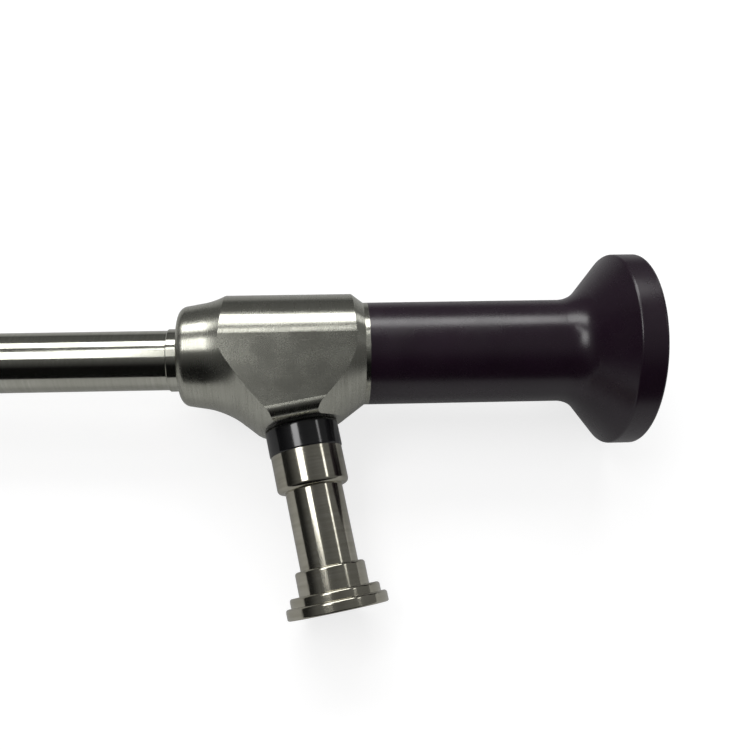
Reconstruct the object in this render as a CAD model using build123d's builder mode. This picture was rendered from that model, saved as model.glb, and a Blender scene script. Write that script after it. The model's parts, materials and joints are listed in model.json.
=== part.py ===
from build123d import *
import os
from math import cos, radians, sin, sqrt, tan

os.makedirs("parts", exist_ok=True)

# A rigid endoscope of the kind used through an 11 mm sleeve. It lies on its side,
# as it comes to rest on a table. Every length is in millimetres.
# x runs along the optical axis: 0 is the joint of body and eyepiece, the eye is at +x.
# s runs along the light post: 0 is the point where its axis meets the optical axis.

# Driving dimensions of the shaft
working_length = 310.0
shaft_radius = 5.0
shaft_wall = 0.5
shaft_offset = 0.6
tip_edge = 0.25
tube_seat_depth = 9.4
tube_seat_step = 0.2
ferrule_radius = 5.25
ferrule_length = 1.9
ferrule_seat_depth = 3.0
ferrule_groove = 0.3

# Driving dimensions of the optics in the shaft
optic_tube_radius = 3.3
optic_tube_wall = 0.4
lens_clearance = 0.02
window_frame_wall = 0.4
window_frame_length = 1.4
tip_window_thickness = 1.0
objective_front_length = 1.6
objective_rear_length = 3.2
objective_spacer_length = 2.6
objective_bulge = 0.45
rod_count = 6
rod_bulge = 0.18
rod_spacer_length = 6.0
rod_spacer_wall = 0.35
optic_tube_reach = 1.0

# Driving dimensions of the body
body_length = 31.4
nose_radius = 8.42
nose_edge = 1.7
front_taper = 9.6
nose_length = 8.11
waist_round = 16.0
shoulder_angle = 38.7
peak_radius = 16.5
rear_angle = 36.9
land_length = 0.73
crown_radius = 9.7
crown_offset = 0.4
boss_height = 12.75
boss_edge = 1.6
chamber_clearance = 0.25
rear_web = 2.0
carrier_seat_depth = 6.0

# Driving dimensions of the eyepiece
eyepiece_radius = 8.6
eyepiece_straight = 34.69
flare_end = 40.86
rim_end = 45.05
rim_radius = 16.0
neck_round = 5.2
rim_front_edge = 0.6
rim_rear_edge = 0.5
mouth_radius = 14.5
mouth_edge = 0.5
recess_radius = 7.7
carrier_radius = 6.5
carrier_wall = 0.9
carrier_length = 33.2
lip_radius = 5.2
eye_window_radius = 6.3
eye_window_thickness = 1.3
lip_thickness = 1.8
eye_ring_radius = 7.4
eye_ring_wall = 1.7
eye_ring_thickness = 1.1
joint_seal_radius = 0.6
seal_squeeze = 0.04
field_stop_place = 5.0
field_stop_thickness = 0.5
field_stop_hole = 2.2
ocular_barrel_wall = 0.7
ocular_barrel_start = 3.0
ocular_barrel_length = 28.0
ocular_front_place = 20.0
ocular_front_length = 4.5
ocular_rear_length = 3.6
ocular_spacer_length = 2.2
ocular_ring_wall = 0.8
ocular_retainer_length = 1.4
ocular_bulge = 0.6

# Driving dimensions of the light post
post_place = 13.68
post_lean = 10.15
guide_radius = 1.9
guide_bend = 4.2
guide_clearance = 0.2
stud_radius = 3.4
stud_start = 9.2
stud_end = 30.0
insulator_radius = 6.05
insulator_length = 4.33
insulator_edge = 0.25
collar_radius = 5.91
collar_length = 6.18
collar_edge = 0.8
barrel_radius = 4.72
barrel_length = 12.74
thread_radius = 4.0
thread_length = 4.2
step_radius = 5.7
step_length = 3.85
ledge_radius = 7.3
ledge_length = 1.5
flange_radius = 8.2
flange_length = 1.85
step_edge = 0.45
flange_edge = 0.3
guide_ferrule_radius = 2.9
light_rod_length = 4.6
port_recess_radius = 3.5
port_recess_depth = 0.6

# Places worked out from the driving dimensions
ferrule_start = -body_length - ferrule_length
shaft_end = ferrule_start - working_length
tube_end = -body_length + tube_seat_depth
tube_seat_radius = shaft_radius - tube_seat_step
tube_bore = shaft_radius - shaft_wall
waist_place = -body_length + nose_length
optic_bore = optic_tube_radius - optic_tube_wall
lens_radius = optic_bore - lens_clearance
carrier_bore = carrier_radius - carrier_wall
carrier_start = -carrier_seat_depth
chamber_end = carrier_start - rear_web
guide_drop = optic_tube_radius + guide_clearance + guide_radius
chamber_radius = guide_drop + guide_radius + chamber_clearance
guide_bore = guide_radius + guide_clearance
insulator_end = boss_height + insulator_length
collar_end = insulator_end + collar_length
barrel_end = collar_end + barrel_length
ledge_start = barrel_end + step_length
flange_start = ledge_start + ledge_length
post_end = flange_start + flange_length
guide_end = post_end - port_recess_depth


def post_point(s):
    """Point of the light post's axis, in x and y of the optical axis."""
    lean = radians(post_lean)
    return (-post_place + s * sin(lean), -s * cos(lean))


def lowest_point(support, up):
    """The point of a round rim that reaches furthest down."""
    centre, axis, radius, edge = support
    side = (up - axis * axis.dot(up)).normalized()
    return centre - side * (radius - edge) - up * edge


# The three rims that it lies on, before it is laid down: centre, axis, radius, edge
rim_middle = (flare_end + rim_end) / 2
post_axis = Vector(*post_point(1.0)) - Vector(*post_point(0.0))
supports = [
    (Vector(flare_end + rim_front_edge, 0, 0), Vector(1, 0, 0), rim_radius, 0.0),
    (Vector(*post_point(post_end - flange_edge)), post_axis, flange_radius, flange_edge),
    (Vector(shaft_end + tip_edge, -shaft_offset, 0), Vector(1, 0, 0), shaft_radius, tip_edge),
]
up = Vector(0, 0, 1)
for step in range(20):
    eyecup_touch, post_touch, tip_touch = [lowest_point(support, up) for support in supports]
    up = (post_touch - eyecup_touch).cross(eyecup_touch - tip_touch).normalized()
    if up.Z < 0:
        up = up * -1

# The table's frame seen from the endoscope, and the endoscope's own planes on the table
forward = (Vector(1, 0, 0) - up * up.X).normalized()
table = Plane(origin=(rim_middle, 0, 0), x_dir=forward, z_dir=up)
scope = Plane(table.location.inverse())
shaft = Plane(scope.from_local_coords((0, -shaft_offset, 0)), scope.x_dir, scope.z_dir)
post_origin = scope.from_local_coords((*post_point(0.0), 0))
post = Plane(post_origin, scope.from_local_coords((*post_point(1.0), 0)) - post_origin, scope.z_dir)


def along(plane, distance):
    """Plane across a plane's own x direction, with its x along that plane's y."""
    return Plane(plane.from_local_coords((distance, 0, 0)), plane.y_dir, plane.x_dir)


def turning_axis(plane):
    return Axis(plane.origin, plane.x_dir)


def save_part(part, label):
    part.label = label
    export_step(part, f"parts/{label}.step")


def corner(section, place, radius):
    """The corner of a turned section at a place along its axis and a radius."""
    return section.vertices().sort_by_distance((place, radius, 0))[0]


def turned_ring(label, plane, start, end, inner, outer):
    """A plain turned ring, or a disc where inner is 0."""
    with BuildPart() as ring:
        with BuildSketch(plane):
            with Locations(((start + end) / 2, (inner + outer) / 2)):
                Rectangle(end - start, outer - inner)
        revolve(axis=turning_axis(plane))
    save_part(ring.part, label)


def lens(label, plane, start, end, seat, front_bulge, rear_bulge, radius):
    """A lens: flat seats of the width of its spacers, and faces that bulge out inside them."""
    clear = radius - seat
    with BuildPart() as glass:
        with BuildSketch(plane):
            with BuildLine():
                front_sag = sag_point(start, clear, -front_bulge)
                rear_sag = sag_point(end, clear, rear_bulge)
                ThreePointArc((start, clear), front_sag, (start - front_bulge, 0))
                Line((start - front_bulge, 0), (end + rear_bulge, 0))
                ThreePointArc((end + rear_bulge, 0), rear_sag, (end, clear))
                Polyline((end, clear), (end, radius), (start, radius), (start, clear))
            make_face()
        revolve(axis=turning_axis(plane))
    save_part(glass.part, label)


def sag_point(edge_place, radius, bulge):
    """A point halfway up a spherical face, so that its arc meets the axis squarely."""
    sphere = (radius**2 + bulge**2) / (2 * abs(bulge))
    rise = sphere - sqrt(sphere**2 - (radius / 2) ** 2)
    side = 1 if bulge > 0 else -1
    return (edge_place + bulge - side * rise, radius / 2)


def seal_ring(label, plane, start, inner, section_radius):
    """An O-ring that starts at a face and lies round a tube."""
    with BuildPart() as seal:
        with BuildSketch(plane):
            with Locations((start + section_radius, inner + section_radius)):
                Circle(section_radius - seal_squeeze)
        revolve(axis=turning_axis(plane))
    save_part(seal.part, label)


# Outer tube of the shaft, rounded at its tip and turned down for its seat in ferrule and body
with BuildPart() as outer_tube:
    with BuildSketch(shaft) as tube_section:
        with BuildLine():
            Polyline(
                (shaft_end, tube_bore),
                (shaft_end, shaft_radius),
                (ferrule_start, shaft_radius),
                (ferrule_start, tube_seat_radius),
                (tube_end, tube_seat_radius),
                (tube_end, tube_bore),
                close=True,
            )
        make_face()
        fillet(corner(tube_section, shaft_end, shaft_radius), tip_edge)
    revolve(axis=turning_axis(shaft))
save_part(outer_tube.part, "outer_tube")

# Ferrule: a collar on the tube, half in the body's nose, with a fine groove at its front
with BuildPart() as shaft_ferrule:
    with BuildSketch(shaft):
        with BuildLine():
            Polyline(
                (ferrule_start, tube_seat_radius),
                (ferrule_start, ferrule_radius - ferrule_groove / 2),
                (ferrule_start + ferrule_groove / 2, ferrule_radius),
                (-body_length + ferrule_seat_depth, ferrule_radius),
                (-body_length + ferrule_seat_depth, tube_seat_radius),
                close=True,
            )
        make_face()
    revolve(axis=turning_axis(shaft))
save_part(shaft_ferrule.part, "shaft_ferrule")

# Tube of the optics, from the tip through the body to the eyepiece
turned_ring(
    "optic_tube", scope, shaft_end, optic_tube_reach, optic_bore, optic_tube_radius
)

# Tip window in its frame
frame_end = shaft_end + window_frame_length
tip_window_radius = optic_bore - window_frame_wall
turned_ring("window_frame", scope, shaft_end, frame_end, tip_window_radius, optic_bore)
turned_ring(
    "tip_window", scope, shaft_end, shaft_end + tip_window_thickness, 0.0, tip_window_radius
)

# Objective: a front lens hollow towards the tip, a spacer and a crowned rear lens
objective_start = frame_end
objective_spacer_start = objective_start + objective_front_length
objective_rear_start = objective_spacer_start + objective_spacer_length
objective_end = objective_rear_start + objective_rear_length
lens(
    "objective_front_lens",
    scope,
    objective_start,
    objective_spacer_start,
    rod_spacer_wall,
    -objective_bulge,
    objective_bulge,
    lens_radius,
)
turned_ring(
    "objective_spacer",
    scope,
    objective_spacer_start,
    objective_rear_start,
    lens_radius - rod_spacer_wall,
    lens_radius,
)
lens(
    "objective_rear_lens",
    scope,
    objective_rear_start,
    objective_end,
    rod_spacer_wall,
    objective_bulge,
    objective_bulge,
    lens_radius,
)

# Relay: rod lenses, each with a spacer tube in front of it
relay_length = optic_tube_reach - objective_end
rod_pitch = relay_length / rod_count
for index in range(rod_count):
    spacer_start = objective_end + index * rod_pitch
    rod_start = spacer_start + rod_spacer_length
    rod_end = spacer_start + rod_pitch
    turned_ring(
        f"rod_spacer_{index + 1}",
        scope,
        spacer_start,
        rod_start,
        lens_radius - rod_spacer_wall,
        lens_radius,
    )
    lens(
        f"rod_lens_{index + 1}",
        scope,
        rod_start,
        rod_end,
        rod_spacer_wall,
        rod_bulge,
        rod_bulge,
        lens_radius,
    )

# Light fibres: they fill the crescent between the two tubes, gather in the body and
# turn into the post
bend_corner = guide_drop / cos(radians(post_lean))
with BuildPart() as fibre_bundle:
    with BuildSketch(along(scope, shaft_end)):
        with Locations((-shaft_offset, 0)):
            Circle(tube_bore)
        Circle(optic_tube_radius, mode=Mode.SUBTRACT)
    extrude(amount=tube_end + guide_radius - shaft_end)
    with BuildLine(scope) as fibre_path:
        FilletPolyline(
            (tube_end, -guide_drop),
            post_point(bend_corner),
            post_point(guide_end - light_rod_length),
            radius=guide_bend,
        )
    with BuildSketch(along(scope, tube_end)):
        with Locations((-guide_drop, 0)):
            Circle(guide_radius)
    sweep(path=fibre_path.wires()[0])
save_part(fibre_bundle.part, "fibre_bundle")

# Body: a turned form, milled to a crown with two flat sides, and faced off square to
# the light post
waist_radius = nose_radius + nose_length * tan(radians(front_taper))
peak_front = waist_place + (peak_radius - waist_radius) / tan(radians(shoulder_angle))
peak_rear = -land_length - (peak_radius - eyepiece_radius) / tan(radians(rear_angle))
with BuildPart() as main_body:
    with BuildSketch(scope) as turned_form:
        with BuildLine():
            Polyline(
                (-body_length, 0),
                (-body_length, nose_radius),
                (waist_place, waist_radius),
                (peak_front, peak_radius),
                (peak_rear, peak_radius),
                (-land_length, eyepiece_radius),
                (0, eyepiece_radius),
                (0, 0),
                close=True,
            )
        make_face()
        fillet(corner(turned_form, -body_length, nose_radius), nose_edge)
        fillet(corner(turned_form, waist_place, waist_radius), waist_round)
    revolve(axis=turning_axis(scope))
    # Face for the light post, rounded at its front edge
    with BuildSketch(along(post, boss_height)):
        Rectangle(4 * peak_radius, 4 * peak_radius)
    extrude(amount=peak_radius, mode=Mode.SUBTRACT)
    boss_face = faces().filter_by(GeomType.PLANE).sort_by(turning_axis(post))[-1]
    front_edge = boss_face.edges().sort_by(turning_axis(scope))[0]
    # Limited by the distance between the two cones that it runs out on
    fillet(front_edge, min(boss_edge, abs(peak_rear - peak_front) / 2))
    # Crown and flats, milled along the optical axis
    with BuildSketch(along(scope, -body_length)):
        with Locations((crown_offset, 0)):
            Circle(crown_radius)
        with Locations((crown_offset - peak_radius, 0)):
            Rectangle(2 * peak_radius, 2 * crown_radius)
    extrude(amount=body_length, mode=Mode.INTERSECT)
    # Bores for tube and ferrule, the chamber, the optic tube's web and the carrier's seat
    with BuildSketch(shaft):
        with Locations((-body_length + tube_seat_depth / 2, tube_seat_radius / 2)):
            Rectangle(tube_seat_depth, tube_seat_radius)
        with Locations((-body_length + ferrule_seat_depth / 2, ferrule_radius / 2)):
            Rectangle(ferrule_seat_depth, ferrule_radius)
    revolve(axis=turning_axis(shaft), mode=Mode.SUBTRACT)
    with BuildSketch(scope):
        with Locations(((tube_end + chamber_end) / 2, chamber_radius / 2)):
            Rectangle(chamber_end - tube_end, chamber_radius)
        with Locations(((chamber_end + carrier_start) / 2, optic_tube_radius / 2)):
            Rectangle(carrier_start - chamber_end, optic_tube_radius)
        with Locations((carrier_start / 2, carrier_radius / 2)):
            Rectangle(-carrier_start, carrier_radius)
    revolve(axis=turning_axis(scope), mode=Mode.SUBTRACT)
    # Bore for the post's stud
    with BuildSketch(along(post, chamber_radius / 2)):
        Circle(stud_radius)
    extrude(amount=boss_height, mode=Mode.SUBTRACT)
save_part(main_body.part, "main_body")

# Bush that centres the optic tube in the eyepiece's carrier
turned_ring(
    "centring_bush", scope, carrier_start, optic_tube_reach, optic_tube_radius, carrier_bore
)

# Carrier: the steel tube that joins body and eyepiece and holds the ocular
turned_ring(
    "eyepiece_carrier", scope, carrier_start, carrier_length, carrier_bore, carrier_radius
)

# Ocular barrel with field stop, two lenses, a spacer and a retainer
ocular_bore = carrier_bore - ocular_barrel_wall
ocular_glass = ocular_bore - lens_clearance
ocular_end = ocular_barrel_start + ocular_barrel_length
spacer_place = ocular_front_place + ocular_front_length
ocular_rear_place = spacer_place + ocular_spacer_length
retainer_place = ocular_rear_place + ocular_rear_length
turned_ring(
    "ocular_barrel", scope, ocular_barrel_start, ocular_end, ocular_bore, carrier_bore
)
turned_ring(
    "field_stop",
    scope,
    field_stop_place,
    field_stop_place + field_stop_thickness,
    field_stop_hole,
    ocular_bore,
)
lens(
    "ocular_front_lens",
    scope,
    ocular_front_place,
    spacer_place,
    ocular_ring_wall,
    ocular_bulge,
    ocular_bulge,
    ocular_glass,
)
turned_ring(
    "ocular_spacer",
    scope,
    spacer_place,
    ocular_rear_place,
    ocular_bore - ocular_ring_wall,
    ocular_bore,
)
lens(
    "ocular_rear_lens",
    scope,
    ocular_rear_place,
    retainer_place,
    ocular_ring_wall,
    ocular_bulge,
    ocular_bulge,
    ocular_glass,
)
turned_ring(
    "ocular_retainer",
    scope,
    retainer_place,
    retainer_place + ocular_retainer_length,
    ocular_bore - ocular_ring_wall,
    ocular_bore,
)

# Eyepiece: one turned piece, a grip that flares into the eyecup
seal_width = 2 * joint_seal_radius
window_seat = carrier_length + lip_thickness
eye_ring_seat = window_seat + eye_window_thickness
recess_start = eye_ring_seat + eye_ring_thickness
with BuildPart() as eyepiece_shell:
    with BuildSketch(scope) as shell_section:
        with BuildLine():
            Polyline(
                (0, carrier_radius + seal_width),
                (0, eyepiece_radius),
                (eyepiece_straight, eyepiece_radius),
                (flare_end, rim_radius),
                (rim_end, rim_radius),
                (rim_end, mouth_radius),
                (recess_start, recess_radius),
                (recess_start, eye_ring_radius),
                (eye_ring_seat, eye_ring_radius),
                (eye_ring_seat, eye_window_radius),
                (window_seat, eye_window_radius),
                (window_seat, lip_radius),
                (carrier_length, lip_radius),
                (carrier_length, carrier_radius),
                (seal_width, carrier_radius),
                (seal_width, carrier_radius + seal_width),
                close=True,
            )
        make_face()
        fillet(corner(shell_section, eyepiece_straight, eyepiece_radius), neck_round)
        fillet(corner(shell_section, flare_end, rim_radius), rim_front_edge)
        fillet(corner(shell_section, rim_end, rim_radius), rim_rear_edge)
        fillet(corner(shell_section, rim_end, mouth_radius), mouth_edge)
    revolve(axis=turning_axis(scope))
save_part(eyepiece_shell.part, "eyepiece_shell")
seal_ring("eyepiece_seal", scope, 0.0, carrier_radius, joint_seal_radius)

# Window at the bottom of the eyecup and the ring that holds it
turned_ring("eyecup_window", scope, window_seat, eye_ring_seat, 0.0, eye_window_radius)
turned_ring(
    "eyecup_window_ring",
    scope,
    eye_ring_seat,
    recess_start,
    eye_ring_radius - eye_ring_wall,
    eye_ring_radius,
)

# Light post: a stud in the body carries insulator, collar and barrel
turned_ring("post_stud", post, stud_start, stud_end, guide_bore, stud_radius)
with BuildPart() as insulating_ring:
    with BuildSketch(post) as insulator_section:
        with BuildLine():
            Polyline(
                (boss_height, stud_radius + seal_width),
                (boss_height, insulator_radius),
                (insulator_end, insulator_radius),
                (insulator_end, stud_radius),
                (boss_height + seal_width, stud_radius),
                (boss_height + seal_width, stud_radius + seal_width),
                close=True,
            )
        make_face()
        fillet(corner(insulator_section, boss_height, insulator_radius), insulator_edge)
        fillet(corner(insulator_section, insulator_end, insulator_radius), insulator_edge)
    revolve(axis=turning_axis(post))
save_part(insulating_ring.part, "insulating_ring")
seal_ring("post_seal", post, boss_height, stud_radius, joint_seal_radius)

with BuildPart() as post_collar:
    with BuildSketch(post) as collar_section:
        with Locations(((insulator_end + collar_end) / 2, (stud_radius + collar_radius) / 2)):
            Rectangle(collar_length, collar_radius - stud_radius)
        fillet(corner(collar_section, collar_end, collar_radius), collar_edge)
    revolve(axis=turning_axis(post))
save_part(post_collar.part, "post_collar")

with BuildPart() as light_post:
    with BuildSketch(post):
        with BuildLine():
            Polyline(
                (collar_end, stud_radius),
                (collar_end, barrel_radius),
                (barrel_end, barrel_radius),
                (barrel_end, thread_radius),
                (barrel_end + thread_length, thread_radius),
                (barrel_end + thread_length, guide_ferrule_radius),
                (stud_end, guide_ferrule_radius),
                (stud_end, stud_radius),
                close=True,
            )
        make_face()
    revolve(axis=turning_axis(post))
save_part(light_post.part, "light_post")

# Adapter: steps out to the flange that the light cable clips onto
with BuildPart() as post_adapter:
    with BuildSketch(post) as adapter_section:
        with BuildLine():
            Polyline(
                (barrel_end, thread_radius),
                (barrel_end, step_radius),
                (ledge_start, step_radius),
                (ledge_start, ledge_radius),
                (flange_start, ledge_radius),
                (flange_start, flange_radius),
                (post_end, flange_radius),
                (post_end, port_recess_radius),
                (guide_end, port_recess_radius),
                (guide_end, guide_ferrule_radius),
                (barrel_end + thread_length, guide_ferrule_radius),
                (barrel_end + thread_length, thread_radius),
                close=True,
            )
        make_face()
        fillet(corner(adapter_section, barrel_end, step_radius), step_edge)
        fillet(corner(adapter_section, ledge_start, ledge_radius), step_edge)
        fillet(corner(adapter_section, flange_start, flange_radius), step_edge)
        fillet(corner(adapter_section, post_end, flange_radius), flange_edge)
    revolve(axis=turning_axis(post))
save_part(post_adapter.part, "post_adapter")

# Ferrule of the light fibres and the polished glass rod in its end
turned_ring(
    "light_guide_ferrule", post, stud_end, guide_end, guide_bore, guide_ferrule_radius
)
turned_ring("light_guide_rod", post, guide_end - light_rod_length, guide_end, 0.0, guide_bore)

print("optical axis", scope.x_dir)
print("post axis", post.x_dir)
print("joint of body and eyepiece", scope.origin)
shaft_middle = shaft_end + working_length / 2
print("middle of the shaft", shaft.from_local_coords((shaft_middle, 0, 0)))
flange_middle = (flange_start + step_edge + post_end - flange_edge) / 2
print("middle of the flange's rim", post.from_local_coords((flange_middle, 0, 0)))
print("post end", post.from_local_coords((post_end, 0, 0)))
print("side", scope.z_dir)
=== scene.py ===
import bmesh
import bpy
import json
from math import cos, pi, radians, sin
from mathutils import Matrix, Vector


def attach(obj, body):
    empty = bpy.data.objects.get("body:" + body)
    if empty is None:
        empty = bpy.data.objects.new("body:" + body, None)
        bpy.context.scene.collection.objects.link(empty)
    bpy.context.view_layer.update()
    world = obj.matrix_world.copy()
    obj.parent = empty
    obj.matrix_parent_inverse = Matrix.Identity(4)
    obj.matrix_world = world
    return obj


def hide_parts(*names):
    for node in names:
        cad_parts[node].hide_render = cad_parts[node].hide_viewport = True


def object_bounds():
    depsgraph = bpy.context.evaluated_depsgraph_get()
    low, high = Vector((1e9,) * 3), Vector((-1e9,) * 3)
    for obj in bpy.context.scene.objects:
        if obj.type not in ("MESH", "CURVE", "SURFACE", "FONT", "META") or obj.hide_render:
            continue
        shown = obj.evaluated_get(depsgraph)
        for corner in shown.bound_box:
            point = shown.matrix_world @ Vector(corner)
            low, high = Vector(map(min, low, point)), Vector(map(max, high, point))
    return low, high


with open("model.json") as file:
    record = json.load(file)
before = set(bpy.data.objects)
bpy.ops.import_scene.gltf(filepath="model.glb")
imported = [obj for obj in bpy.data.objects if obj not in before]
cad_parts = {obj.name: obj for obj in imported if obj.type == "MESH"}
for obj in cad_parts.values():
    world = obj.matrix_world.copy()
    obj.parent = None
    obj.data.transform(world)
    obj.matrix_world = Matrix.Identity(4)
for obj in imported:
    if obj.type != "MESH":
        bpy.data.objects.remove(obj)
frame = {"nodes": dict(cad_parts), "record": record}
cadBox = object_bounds()
scene = bpy.context.scene
scene.view_settings.view_transform = "Standard"
print("frame loaded:", len(frame["nodes"]), "nodes")

# The two lines that the parts are turned about, read from the record's mounts

mounts = {mount["name"]: mount for mount in frame["record"]["mounts"]}
opticalAxis = Vector(mounts["eyecup_rim"]["axis"]).normalized()
postAxis = Vector(mounts["light_post_flange"]["axis"]).normalized()
sideways = postAxis.cross(opticalAxis).normalized()  # square to both, up from the table


def lineOf(axis, mountName):
    upright = sideways.cross(axis)
    return {
        "centre": Vector(mounts[mountName]["pos_m"]),
        "axis": axis,
        "turn": Matrix((axis, upright, sideways)).transposed().to_euler(),
    }


scopeLine = lineOf(opticalAxis, "eyecup_rim")
postLine = lineOf(postAxis, "light_post_flange")


# Camera, at the photo's place over the light post's side

cameraSetup = {
    "place": (-0.0571, -0.0599, 0.1201),  # metres
    "turn": (20.88, -3.19, -1.85),  # degrees about x, y and z
    "lens": 38.2,
    "shift": (0.0533, 0.0733),
    "nearest": 0.005,
}


def makeCamera(setup):
    data = bpy.data.cameras.new("photoCamera")
    data.lens = setup["lens"]
    data.shift_x, data.shift_y = setup["shift"]
    data.clip_start = setup["nearest"]
    camera = bpy.data.objects.new("photoCamera", data)
    camera.location = setup["place"]
    camera.rotation_euler = [radians(angle) for angle in setup["turn"]]
    scene.collection.objects.link(camera)
    scene.camera = camera


makeCamera(cameraSetup)
print("camera set")


# Helpers for node trees


def addNode(tree, kind, inputs=None, **settings):
    # an input is either a plain value or a socket to link from
    node = tree.nodes.new(kind)
    for name, value in settings.items():
        setattr(node, name, value)
    for name, value in (inputs or {}).items():
        if isinstance(value, bpy.types.NodeSocket):
            tree.links.new(value, node.inputs[name])
        else:
            node.inputs[name].default_value = value
    return node


def calc(tree, operation, first, second=0.0):
    return addNode(tree, "ShaderNodeMath", {0: first, 1: second}, operation=operation).outputs[0]


def spread(tree, value, low, high, fromLow=0.0, fromHigh=1.0):
    inputs = {"Value": value, "From Min": fromLow, "From Max": fromHigh, "To Min": low, "To Max": high}
    return addNode(tree, "ShaderNodeMapRange", inputs).outputs["Result"]


def blendColors(tree, factor, first, second):
    inputs = {"Factor": factor, "A": first, "B": second}
    return addNode(tree, "ShaderNodeMix", inputs, data_type="RGBA").outputs["Result"]


def newMaterial(name):
    material = bpy.data.materials.new(name)
    material.use_nodes = True
    tree = material.node_tree
    return material, tree, tree.nodes["Principled BSDF"]


def newGroup(name, inputs, outputs):
    tree = bpy.data.node_groups.new(name, "ShaderNodeTree")
    for socketName, kind in inputs.items():
        tree.interface.new_socket(socketName, in_out="INPUT", socket_type=kind)
    for socketName in outputs:
        tree.interface.new_socket(socketName, in_out="OUTPUT", socket_type="NodeSocketFloat")
    given = tree.nodes.new("NodeGroupInput").outputs
    result = tree.nodes.new("NodeGroupOutput").inputs
    return tree, given, result


def useGroup(tree, group, inputs):
    node = tree.nodes.new("ShaderNodeGroup")
    node.node_tree = group
    for name, value in inputs.items():
        if isinstance(value, bpy.types.NodeSocket):
            tree.links.new(value, node.inputs[name])
        else:
            node.inputs[name].default_value = value
    return node.outputs


# Table: pale paper under the object, which the camera sees white apart from the shadow

tableSetup = {
    "size": 6.0,  # metres
    "paper": 0.36,
    "glow": 0.75,
    "farGlow": 0.95,
    "glowReach": (0.35, 1.6),  # metres from the object, where the lamps' light falls off
    "glossGlow": 0.10,
    "paintedFarShade": 0.22,  # painted shade in reflections: metal sees the paper darker where it runs away behind the object
    "farReach": (0.02, 0.14),  # metres
    "roughness": 0.9,
}


def makeTable(setup):
    bpy.ops.mesh.primitive_plane_add(size=setup["size"])
    table = bpy.context.object
    table.name = "table"
    table.data.transform(Matrix.Translation((0.0, 0.0, cadBox[0][2])))
    material, tree, shader = newMaterial("tablePaper")
    rays = tree.nodes.new("ShaderNodeLightPath").outputs
    place = tree.nodes.new("ShaderNodeTexCoord").outputs["Object"]
    behind = addNode(tree, "ShaderNodeSeparateXYZ", {"Vector": place}).outputs["Y"]
    # painted shade seen only in reflections: glossy rays see the paper darker behind the object
    paintedFarShade = spread(tree, behind, 1.0, setup["paintedFarShade"], *setup["farReach"])
    glossTone = addNode(tree, "ShaderNodeMix", {"Factor": rays["Is Glossy Ray"], "A": 1.0, "B": paintedFarShade})
    paper = calc(tree, "MULTIPLY", glossTone.outputs["Result"], setup["paper"])
    tree.links.new(paper, shader.inputs["Base Color"])
    # the glow makes up for the paper's tone, and takes no part in lighting the object
    away = addNode(tree, "ShaderNodeVectorMath", {0: place}, operation="LENGTH").outputs["Value"]
    glow = spread(tree, away, setup["glow"], setup["farGlow"], *setup["glowReach"])
    straight = calc(tree, "MAXIMUM", rays["Is Camera Ray"], rays["Is Transmission Ray"])
    seenGlow = calc(tree, "MULTIPLY", straight, glow)
    farGloss = calc(tree, "MULTIPLY", paintedFarShade, setup["glossGlow"])
    glossGlow = calc(tree, "MULTIPLY", rays["Is Glossy Ray"], farGloss)
    tree.links.new(calc(tree, "ADD", seenGlow, glossGlow), shader.inputs["Emission Strength"])
    shader.inputs["Emission Color"].default_value = (1.0, 1.0, 1.0, 1.0)
    shader.inputs["Roughness"].default_value = setup["roughness"]
    shader.inputs["Specular IOR Level"].default_value = 0.0
    table.data.materials.append(material)


# Studio: an even fill for the colours, and a dark room with soft boxes for the gloss

worldSetup = {
    "fill": 0.38,
    "room": 0.12,  # what metal sees of the room, darker towards -Y and -X and lighter towards +X
    "dark": 0.003,
    "nearEdge": (-0.69, -0.30),
    "leftEdge": (-0.95, -0.75),
    "rightEdge": (0.10, 0.45),
    "leftTone": 0.15,
    "rightTone": 1.3,
}

# place and aim in metres, size in metres, glow as radiance
lampSetup = {
    "farSoftbox": {"place": (-0.123, 0.495, 0.491), "size": (0.744, 0.235), "glow": 4.6},
    "topSoftbox": {"place": (-0.357, 0.0235, 0.633), "size": (0.285, 0.234), "glow": 4.6},
    "crownStrip": {"place": (-0.166, 0.240, 0.647), "size": (0.30, 0.070), "glow": 3.6},
    "rightStrip": {"place": (0.43, 0.105, 0.483), "size": (0.20, 0.07), "glow": 2.4},
    "cornerCard": {"place": (0.465, 0.455, 0.042), "size": (0.12, 0.10), "glow": 2.0},
}
lampAim = (-0.06, 0.0, 0.0)


def makeWorld(setup):
    world = bpy.data.worlds.new("studio")
    scene.world = world
    world.use_nodes = True
    tree = world.node_tree
    rays = tree.nodes.new("ShaderNodeLightPath").outputs
    direction = tree.nodes.new("ShaderNodeTexCoord").outputs["Generated"]
    towards = addNode(tree, "ShaderNodeSeparateXYZ", {"Vector": direction}).outputs
    left = spread(tree, towards["X"], setup["leftTone"], 1.0, *setup["leftEdge"])
    right = spread(tree, towards["X"], 1.0, setup["rightTone"], *setup["rightEdge"])
    near = spread(tree, towards["Y"], setup["dark"], setup["room"], *setup["nearEdge"])
    room = calc(tree, "MULTIPLY", near, calc(tree, "MULTIPLY", left, right))
    glossMix = {"Factor": rays["Is Glossy Ray"], "A": setup["fill"], "B": room}
    forGloss = addNode(tree, "ShaderNodeMix", glossMix).outputs["Result"]
    straight = calc(tree, "MAXIMUM", rays["Is Camera Ray"], rays["Is Transmission Ray"])
    seen = addNode(tree, "ShaderNodeMix", {"Factor": straight, "A": forGloss, "B": 1.0})
    tree.links.new(seen.outputs["Result"], tree.nodes["Background"].inputs["Strength"])
    tree.nodes["Background"].inputs["Color"].default_value = (1.0, 1.0, 1.0, 1.0)


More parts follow.
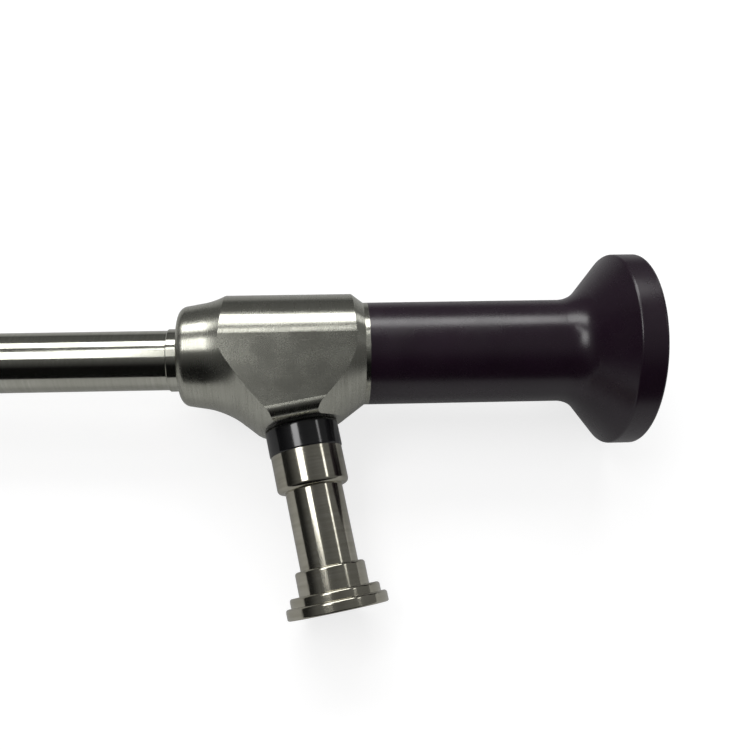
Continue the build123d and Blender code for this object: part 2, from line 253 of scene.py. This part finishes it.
def makeLamp(name, setup):
    data = bpy.data.lights.new(name, "AREA")
    data.shape = "RECTANGLE"
    data.size, data.size_y = setup["size"]
    data.energy = setup["glow"] * pi * data.size * data.size_y
    lamp = bpy.data.objects.new(name, data)
    lamp.location = setup["place"]
    lamp.rotation_euler = (Vector(lampAim) - lamp.location).to_track_quat("-Z", "Y").to_euler()
    lamp.visible_camera = False
    scene.collection.objects.link(lamp)


makeTable(tableSetup)
makeWorld(worldSetup)
for lampName, setup in lampSetup.items():
    makeLamp(lampName, setup)
print("table and light set")


# Shared effects

marksSetup = {
    "around": 0.10,  # per mm: how slowly a turning mark changes round the piece
    "detail": 3.0,
    "patches": 0.18,  # per mm
}

handlingSetup = {
    "smudges": 0.22,  # per mm
    "smudgeDetail": 4.0,
    "scratchFine": 7.0,  # per mm across a scratch
    "scratchLong": 0.22,  # per mm along it
    "scratchRare": 0.70,
    "angles": (34.0, -58.0),  # degrees
}


def makeTurnedMarks(setup):
    # fine lines round a turned piece; Rise makes them rings on its end faces as well
    inputs = {"Place": "NodeSocketVector", "Pitch": "NodeSocketFloat", "Rise": "NodeSocketFloat"}
    tree, given, result = newGroup("turnedMarks", inputs, ["Marks", "Patches"])
    split = addNode(tree, "ShaderNodeSeparateXYZ", {"Vector": given["Place"]}).outputs
    acrossLine = {0: given["Place"], 1: (0.0, 1.0, 1.0)}
    flat = addNode(tree, "ShaderNodeVectorMath", acrossLine, operation="MULTIPLY").outputs[0]
    radius = addNode(tree, "ShaderNodeVectorMath", {0: flat}, operation="LENGTH").outputs["Value"]
    along = calc(tree, "ADD", split["X"], calc(tree, "MULTIPLY", radius, given["Rise"]))
    lines = addNode(
        tree,
        "ShaderNodeCombineXYZ",
        {
            "X": calc(tree, "MULTIPLY", along, given["Pitch"]),
            "Y": calc(tree, "MULTIPLY", split["Y"], setup["around"]),
            "Z": calc(tree, "MULTIPLY", split["Z"], setup["around"]),
        },
    ).outputs["Vector"]
    marks = addNode(tree, "ShaderNodeTexNoise", {"Vector": lines, "Scale": 1.0, "Detail": setup["detail"]})
    patches = addNode(tree, "ShaderNodeTexNoise", {"Vector": given["Place"], "Scale": setup["patches"]})
    tree.links.new(marks.outputs["Fac"], result["Marks"])
    tree.links.new(patches.outputs["Fac"], result["Patches"])
    return tree


def makeHandling(setup):
    # soft smudges and a few hairline scratches from use
    tree, given, result = newGroup("handling", {"Place": "NodeSocketVector"}, ["Smudges", "Scratches"])
    smudgeInputs = {"Vector": given["Place"], "Scale": setup["smudges"], "Detail": setup["smudgeDetail"]}
    smudges = addNode(tree, "ShaderNodeTexNoise", smudgeInputs)
    tree.links.new(smudges.outputs["Fac"], result["Smudges"])
    scratches = []
    for angle in setup["angles"]:
        inputs = {
            "Vector": given["Place"],
            "Rotation": (radians(angle), radians(angle / 2), radians(angle)),
            "Scale": (setup["scratchLong"], setup["scratchFine"], setup["scratchFine"]),
        }
        turned = addNode(tree, "ShaderNodeMapping", inputs).outputs["Vector"]
        hair = addNode(tree, "ShaderNodeTexNoise", {"Vector": turned, "Scale": 1.0, "Detail": 1.0})
        scratches.append(spread(tree, hair.outputs["Fac"], 0.0, 1.0, setup["scratchRare"], 1.0))
    tree.links.new(calc(tree, "MAXIMUM", *scratches), result["Scratches"])
    return tree


turnedMarks = makeTurnedMarks(marksSetup)
handling = makeHandling(handlingSetup)
print("shared effects made")


millimetre = 0.001


def placeOn(tree, line):
    # millimetres from the line's own centre, with x along it
    place = tree.nodes.new("ShaderNodeTexCoord").outputs["Object"]
    inputs = {
        "Vector": place,
        "Location": line["centre"],
        "Rotation": line["turn"],
        "Scale": (millimetre, millimetre, millimetre),
    }
    return addNode(tree, "ShaderNodeMapping", inputs, vector_type="TEXTURE").outputs["Vector"]


def brushAlong(tree, shader, line):
    # highlights draw out along the line, across the marks that run round it
    place = tree.nodes.new("ShaderNodeTexCoord").outputs["Object"]
    ahead = line["axis"] - line["centre"]
    tangent = addNode(tree, "ShaderNodeVectorMath", {0: place, 1: ahead}, operation="ADD").outputs[0]
    tree.links.new(tangent, shader.inputs["Tangent"])


# Metals. Colours are light and dark tones of the marks, depths are in metres; the flats' tones are set
# darker than the body's as painted shade

metalSetup = {
    "body_steel": {
        "line": scopeLine, "light": (0.60, 0.60, 0.53, 1.0), "dark": (0.44, 0.44, 0.38, 1.0),
        "rough": (0.20, 0.28), "pitch": 4.0, "rise": 0.0, "depth": 1.2e-6,
        "anisotropic": 0.8, "smudge": 0.05, "speckle": 0.25,
    },
    # painted shade: the flats take the body's steel in darker tones, standing in for the dark room they
    # reflect; their finish also has no anisotropy
    "body_flat": {
        "line": scopeLine, "light": (0.36, 0.36, 0.32, 1.0), "dark": (0.24, 0.24, 0.205, 1.0),
        "rough": (0.20, 0.27), "pitch": 5.0, "rise": 0.0, "depth": 1.0e-6,
        "anisotropic": 0.0, "smudge": 0.05, "speckle": 0.55,
    },
    "shaft_steel": {
        "line": scopeLine, "light": (0.62, 0.62, 0.55, 1.0), "dark": (0.50, 0.50, 0.43, 1.0),
        "rough": (0.11, 0.17), "pitch": 3.0, "rise": 0.6, "depth": 0.5e-6,
        "anisotropic": 0.8, "smudge": 0.03, "speckle": 0.1,
    },
    "post_steel": {
        "line": postLine, "light": (0.62, 0.60, 0.52, 1.0), "dark": (0.46, 0.44, 0.36, 1.0),
        "rough": (0.09, 0.16), "pitch": 2.0, "rise": 0.6, "depth": 0.6e-6,
        "anisotropic": 0.5, "smudge": 0.04, "speckle": 0.1,
    },
    "inner_steel": {
        "line": scopeLine, "light": (0.55, 0.55, 0.50, 1.0), "dark": (0.40, 0.40, 0.36, 1.0),
        "rough": (0.25, 0.36), "pitch": 4.0, "rise": 0.6, "depth": 2.0e-6,
        "anisotropic": 0.6, "smudge": 0.04, "speckle": 0.2,
    },
    "bush_brass": {
        "line": scopeLine, "light": (0.70, 0.50, 0.22, 1.0), "dark": (0.52, 0.35, 0.13, 1.0),
        "rough": (0.24, 0.34), "pitch": 4.0, "rise": 0.6, "depth": 2.0e-6,
        "anisotropic": 0.5, "smudge": 0.04, "speckle": 0.1,
    },
    "black_aluminium": {
        "line": scopeLine, "light": (0.035, 0.035, 0.038, 1.0), "dark": (0.018, 0.018, 0.020, 1.0),
        "rough": (0.38, 0.50), "pitch": 3.0, "rise": 0.6, "depth": 3.0e-6,
        "anisotropic": 0.3, "smudge": 0.04, "speckle": 0.3,
    },
}


metalDetail = {
    "speckles": 4.0,  # per mm
    "speckleDetail": 2.0,
    "speckleReach": (0.3, 0.7),  # where most of the noise lies
    "lineReach": (0.25, 0.75),
    "patchReach": (0.3, 0.7),
    "patchShow": (0.5, 1.2),  # how much the lines show from patch to patch
    "smudgeReach": (0.4, 0.7),
    "scratchRough": 0.12,
}


def makeMetal(name, setup, detail=metalDetail):
    material, tree, shader = newMaterial(name)
    place = placeOn(tree, setup["line"])
    turned = useGroup(tree, turnedMarks, {"Place": place, "Pitch": setup["pitch"], "Rise": setup["rise"]})
    used = useGroup(tree, handling, {"Place": place})
    # the lines show more in some patches than in others
    shown = spread(tree, turned["Patches"], *detail["patchShow"], *detail["patchReach"])
    lines = calc(tree, "MULTIPLY", spread(tree, turned["Marks"], 0.0, 1.0, *detail["lineReach"]), shown)
    grainInputs = {"Vector": place, "Scale": detail["speckles"], "Detail": detail["speckleDetail"]}
    grain = addNode(tree, "ShaderNodeTexNoise", grainInputs)
    speckles = spread(tree, grain.outputs["Fac"], 0.0, 1.0, *detail["speckleReach"])
    mixed = addNode(tree, "ShaderNodeMix", {"Factor": setup["speckle"], "A": lines, "B": speckles})
    marks = mixed.outputs["Result"]
    color = blendColors(tree, marks, setup["dark"], setup["light"])
    tree.links.new(color, shader.inputs["Base Color"])
    low, high = setup["rough"]
    rough = spread(tree, marks, high, low)
    smudges = spread(tree, used["Smudges"], 0.0, setup["smudge"], *detail["smudgeReach"])
    smudged = calc(tree, "ADD", rough, smudges)
    scratches = calc(tree, "MULTIPLY", used["Scratches"], detail["scratchRough"])
    scratched = calc(tree, "ADD", smudged, scratches)
    tree.links.new(scratched, shader.inputs["Roughness"])
    height = calc(tree, "SUBTRACT", marks, used["Scratches"])
    bump = addNode(tree, "ShaderNodeBump", {"Distance": setup["depth"], "Height": height})
    tree.links.new(bump.outputs["Normal"], shader.inputs["Normal"])
    brushAlong(tree, shader, setup["line"])
    shader.inputs["Metallic"].default_value = 1.0
    shader.inputs["Anisotropic"].default_value = setup["anisotropic"]
    return material


# Plastics and rubber, with a moulded or turned grain

plasticSetup = {
    "eyepiece_plastic": {
        "line": scopeLine, "light": (0.0155, 0.0055, 0.0145, 1.0), "dark": (0.0100, 0.0034, 0.0094, 1.0),
        "rough": (0.24, 0.30), "grain": 7.0, "depth": 3.0e-6, "index": 1.6,
    },
    "insulator_plastic": {
        "line": postLine, "light": (0.008, 0.008, 0.009, 1.0), "dark": (0.004, 0.004, 0.005, 1.0),
        "rough": (0.10, 0.16), "grain": 3.0, "depth": 0.6e-6, "index": 1.7,
    },
    "seal_rubber": {
        "line": scopeLine, "light": (0.022, 0.022, 0.022, 1.0), "dark": (0.012, 0.012, 0.012, 1.0),
        "rough": (0.55, 0.70), "grain": 5.0, "depth": 6.0e-6, "index": 1.45,
    },
}


plasticDetail = {
    "pitch": 1.2,  # turning marks per mm
    "rise": 0.6,
    "grainDetail": 2.0,
    "toneReach": (0.3, 0.7),
    "smudgeReach": (0.35, 0.70),
    "scratchRough": 0.08,
    "turnedShare": 0.5,  # of the grain's height
}


def makePlastic(name, setup, detail=plasticDetail):
    material, tree, shader = newMaterial(name)
    place = placeOn(tree, setup["line"])
    turned = useGroup(tree, turnedMarks, {"Place": place, "Pitch": detail["pitch"], "Rise": detail["rise"]})
    used = useGroup(tree, handling, {"Place": place})
    grainInputs = {"Vector": place, "Scale": setup["grain"], "Detail": detail["grainDetail"]}
    grain = addNode(tree, "ShaderNodeTexNoise", grainInputs).outputs["Fac"]
    mottle = calc(tree, "MULTIPLY", calc(tree, "ADD", grain, turned["Patches"]), 0.5)
    tone = spread(tree, mottle, 0.0, 1.0, *detail["toneReach"])
    color = blendColors(tree, tone, setup["dark"], setup["light"])
    tree.links.new(color, shader.inputs["Base Color"])
    low, high = setup["rough"]
    rough = spread(tree, used["Smudges"], low, high, *detail["smudgeReach"])
    scratched = calc(tree, "ADD", rough, calc(tree, "MULTIPLY", used["Scratches"], detail["scratchRough"]))
    tree.links.new(scratched, shader.inputs["Roughness"])
    height = calc(tree, "ADD", grain, calc(tree, "MULTIPLY", turned["Marks"], detail["turnedShare"]))
    bump = addNode(tree, "ShaderNodeBump", {"Distance": setup["depth"], "Height": height})
    tree.links.new(bump.outputs["Normal"], shader.inputs["Normal"])
    shader.inputs["IOR"].default_value = setup["index"]
    return material


# Optics

glassSetup = {
    "light": (0.97, 0.99, 0.98, 1.0),
    "dark": (0.90, 0.95, 0.94, 1.0),
    "rough": (0.0, 0.03),
    "smudgeReach": (0.5, 0.8),
    "index": 1.52,
    "coating": 110.0,  # nanometres, the purple bloom of a lens
    "coatingIndex": 1.38,
}

fibreSetup = {
    "light": (0.86, 0.82, 0.66, 1.0),
    "dark": (0.42, 0.38, 0.27, 1.0),
    "perMillimetre": 9.0,
    "stretch": (0.02, 1.0, 1.0),  # the cells run on along the fibres
    "coreReach": (0.25, 0.6),
    "coat": 0.6,
    "rough": (0.08, 0.30),
    "depth": 2.0e-6,
}


def makeGlass(name, setup):
    material, tree, shader = newMaterial(name)
    used = useGroup(tree, handling, {"Place": placeOn(tree, scopeLine)})
    color = blendColors(tree, used["Smudges"], setup["light"], setup["dark"])
    tree.links.new(color, shader.inputs["Base Color"])
    low, high = setup["rough"]
    rough = spread(tree, used["Smudges"], low, high, *setup["smudgeReach"])
    tree.links.new(rough, shader.inputs["Roughness"])
    shader.inputs["Transmission Weight"].default_value = 1.0
    shader.inputs["IOR"].default_value = setup["index"]
    shader.inputs["Thin Film Thickness"].default_value = setup["coating"]
    shader.inputs["Thin Film IOR"].default_value = setup["coatingIndex"]
    return material


def makeFibres(name, setup, line):
    material, tree, shader = newMaterial(name)
    place = placeOn(tree, line)
    inputs = {"Vector": place, "Scale": setup["stretch"]}
    bundle = addNode(tree, "ShaderNodeMapping", inputs).outputs["Vector"]
    cells = addNode(tree, "ShaderNodeTexVoronoi", {"Vector": bundle, "Scale": setup["perMillimetre"]})
    core = spread(tree, cells.outputs["Distance"], 1.0, 0.0, *setup["coreReach"])
    color = blendColors(tree, core, setup["dark"], setup["light"])
    tree.links.new(color, shader.inputs["Base Color"])
    low, high = setup["rough"]
    tree.links.new(spread(tree, core, high, low), shader.inputs["Roughness"])
    bump = addNode(tree, "ShaderNodeBump", {"Distance": setup["depth"], "Height": core})
    tree.links.new(bump.outputs["Normal"], shader.inputs["Normal"])
    shader.inputs["Coat Weight"].default_value = setup["coat"]
    return material


# Body: cut from the solid, its nose a little slimmer and the edges between flats and post's face rounded.
# Known fault: the cut mesh is open, its flat on the table side is missing.

bodySetup = {
    # metres: places along the optical axis from the body's rear end, then distances from the axis
    "rearFromEyecup": 0.042955,
    "noseStart": (-0.0314, 0.00815),
    "noseRound": 0.00144,  # how far the round reaches from the corner
    "waist": (-0.02371, 0.00945),
    "waistRound": 0.0032,
    "shoulderAngle": 39.2,
    "shoulderRun": 0.004,
    "outside": 0.02,
    "flatHeight": 0.00969,  # just under the solid's own flats, not level with them
    "postPlace": -0.01368,
    "postFace": 0.01276,
    "faceRound": 0.0023,
    "blockReach": 0.04,
    "turnSteps": 180,
    "roundSteps": 12,
    "sharpAngle": 18.0,  # degrees
    "weld": 1e-7,
    "flatShare": 0.9999,  # how closely a flat's faces look sideways
}


def meshObject(name, work):
    mesh = bpy.data.meshes.new(name)
    work.to_mesh(mesh)
    work.free()
    thing = bpy.data.objects.new(name, mesh)
    scene.collection.objects.link(thing)
    return thing


def noseCutter(setup, toWorld):
    # everything outside the slimmer nose: a closed section, spun round the optical axis
    work = bmesh.new()
    noseX, noseRadius = setup["noseStart"]
    waistX, waistRadius = setup["waist"]
    angle = radians(setup["shoulderAngle"])
    run = setup["shoulderRun"]
    shoulder = (waistX + run * cos(angle), waistRadius + run * sin(angle))
    front = noseX - run
    within = noseRadius - 2 * setup["noseRound"]
    section = [
        (noseX, within), (noseX, noseRadius), (waistX, waistRadius), shoulder,
        (shoulder[0], setup["outside"]), (front, setup["outside"]), (front, within),
    ]
    corners = [work.verts.new((x, radius, 0.0)) for x, radius in section]
    for first, second in zip(corners, corners[1:] + corners[:1]):
        work.edges.new((first, second))
    for corner, reach in ((corners[1], setup["noseRound"]), (corners[2], setup["waistRound"])):
        bmesh.ops.bevel(
            work, geom=[corner], offset=reach, offset_type="OFFSET", affect="VERTICES",
            segments=setup["roundSteps"], profile=0.5, material=-1,
        )
    bmesh.ops.spin(
        work, geom=work.verts[:] + work.edges[:], cent=(0.0, 0.0, 0.0), axis=(1.0, 0.0, 0.0),
        angle=2 * pi, steps=setup["turnSteps"], use_merge=True,
    )
    bmesh.ops.remove_doubles(work, verts=work.verts, dist=setup["weld"])
    bmesh.ops.recalc_face_normals(work, faces=work.faces)
    bmesh.ops.transform(work, matrix=toWorld, verts=work.verts)
    return meshObject("noseCutter", work)


def faceBlock(setup, toWorld):
    # a block that ends at the post's face, rounded where that meets the flats
    work = bmesh.new()
    reach = setup["blockReach"]
    bmesh.ops.create_cube(work, size=2.0)
    halfDepth = (reach + setup["postFace"]) / 2
    bmesh.ops.scale(work, vec=(reach, halfDepth, setup["flatHeight"]), verts=work.verts)
    bmesh.ops.translate(work, vec=(0.0, (setup["postFace"] - reach) / 2, 0.0), verts=work.verts)
    rims = [
        edge for edge in work.edges
        if all(vert.co.y > 0.0 for vert in edge.verts) and edge.verts[0].co.z * edge.verts[1].co.z > 0.0
        and edge.verts[0].co.x * edge.verts[1].co.x < 0.0
    ]
    bmesh.ops.bevel(
        work, geom=rims, offset=setup["faceRound"], offset_type="OFFSET", affect="EDGES",
        segments=setup["roundSteps"], profile=0.5, material=-1,
    )
    bmesh.ops.transform(work, matrix=toWorld, verts=work.verts)
    return meshObject("faceBlock", work)


def frameAt(origin, along, upright):
    turn = Matrix((along, upright, along.cross(upright))).transposed()
    return Matrix.Translation(origin) @ turn.to_4x4()


def makeBody(setup, finish, flatFinishAndShade):
    work = bmesh.new()
    work.from_mesh(frame["nodes"]["main_body"].data)
    bmesh.ops.remove_doubles(work, verts=work.verts, dist=setup["weld"])
    body = meshObject("steelBody", work)
    rear = scopeLine["centre"] - opticalAxis * setup["rearFromEyecup"]
    postFoot = rear + opticalAxis * setup["postPlace"]
    cutters = {
        "DIFFERENCE": noseCutter(setup, frameAt(rear, opticalAxis, sideways.cross(opticalAxis))),
        "INTERSECT": faceBlock(setup, frameAt(postFoot, postAxis.cross(sideways), postAxis)),
    }
    for operation, cutter in cutters.items():
        cut = body.modifiers.new(operation.lower(), "BOOLEAN")
        cut.operation = operation
        cut.object = cutter
        cut.solver = "EXACT"
    evaluated = body.evaluated_get(bpy.context.evaluated_depsgraph_get())
    cutMesh = bpy.data.meshes.new_from_object(evaluated)
    body.modifiers.clear()
    body.data = cutMesh
    for layer in [layer for layer in cutMesh.attributes if layer.name == "custom_normal"]:
        cutMesh.attributes.remove(layer)  # the solid's own normals no longer fit
    for cutter in cutters.values():
        bpy.data.objects.remove(cutter)
    body.data.materials.clear()
    body.data.materials.append(finish)
    # the flats get the darker steel, which is painted shade
    body.data.materials.append(flatFinishAndShade)
    for face in body.data.polygons:
        face.material_index = 1 if abs(face.normal.dot(sideways)) > setup["flatShare"] else 0
        face.use_smooth = face.material_index == 0
    body.data.set_sharp_from_angle(angle=radians(setup["sharpAngle"]))
    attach(body, "root")
    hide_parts("main_body")
    print("body made:", len(body.data.polygons), "faces")


finishes = {name: makeMetal(name, setup) for name, setup in metalSetup.items()}
finishes.update({name: makePlastic(name, setup) for name, setup in plasticSetup.items()})
finishes["optical_glass"] = makeGlass("optical_glass", glassSetup)
finishes["fibre_glass"] = makeFibres("fibre_glass", fibreSetup, scopeLine)
print("finishes made:", len(finishes))

for subpart in frame["record"]["subparts"]:
    slots = frame["nodes"][subpart["node"]].data.materials
    slots.clear()
    slots.append(finishes[subpart["material_slot"]])

makeBody(bodySetup, finishes["body_steel"], finishes["body_flat"])
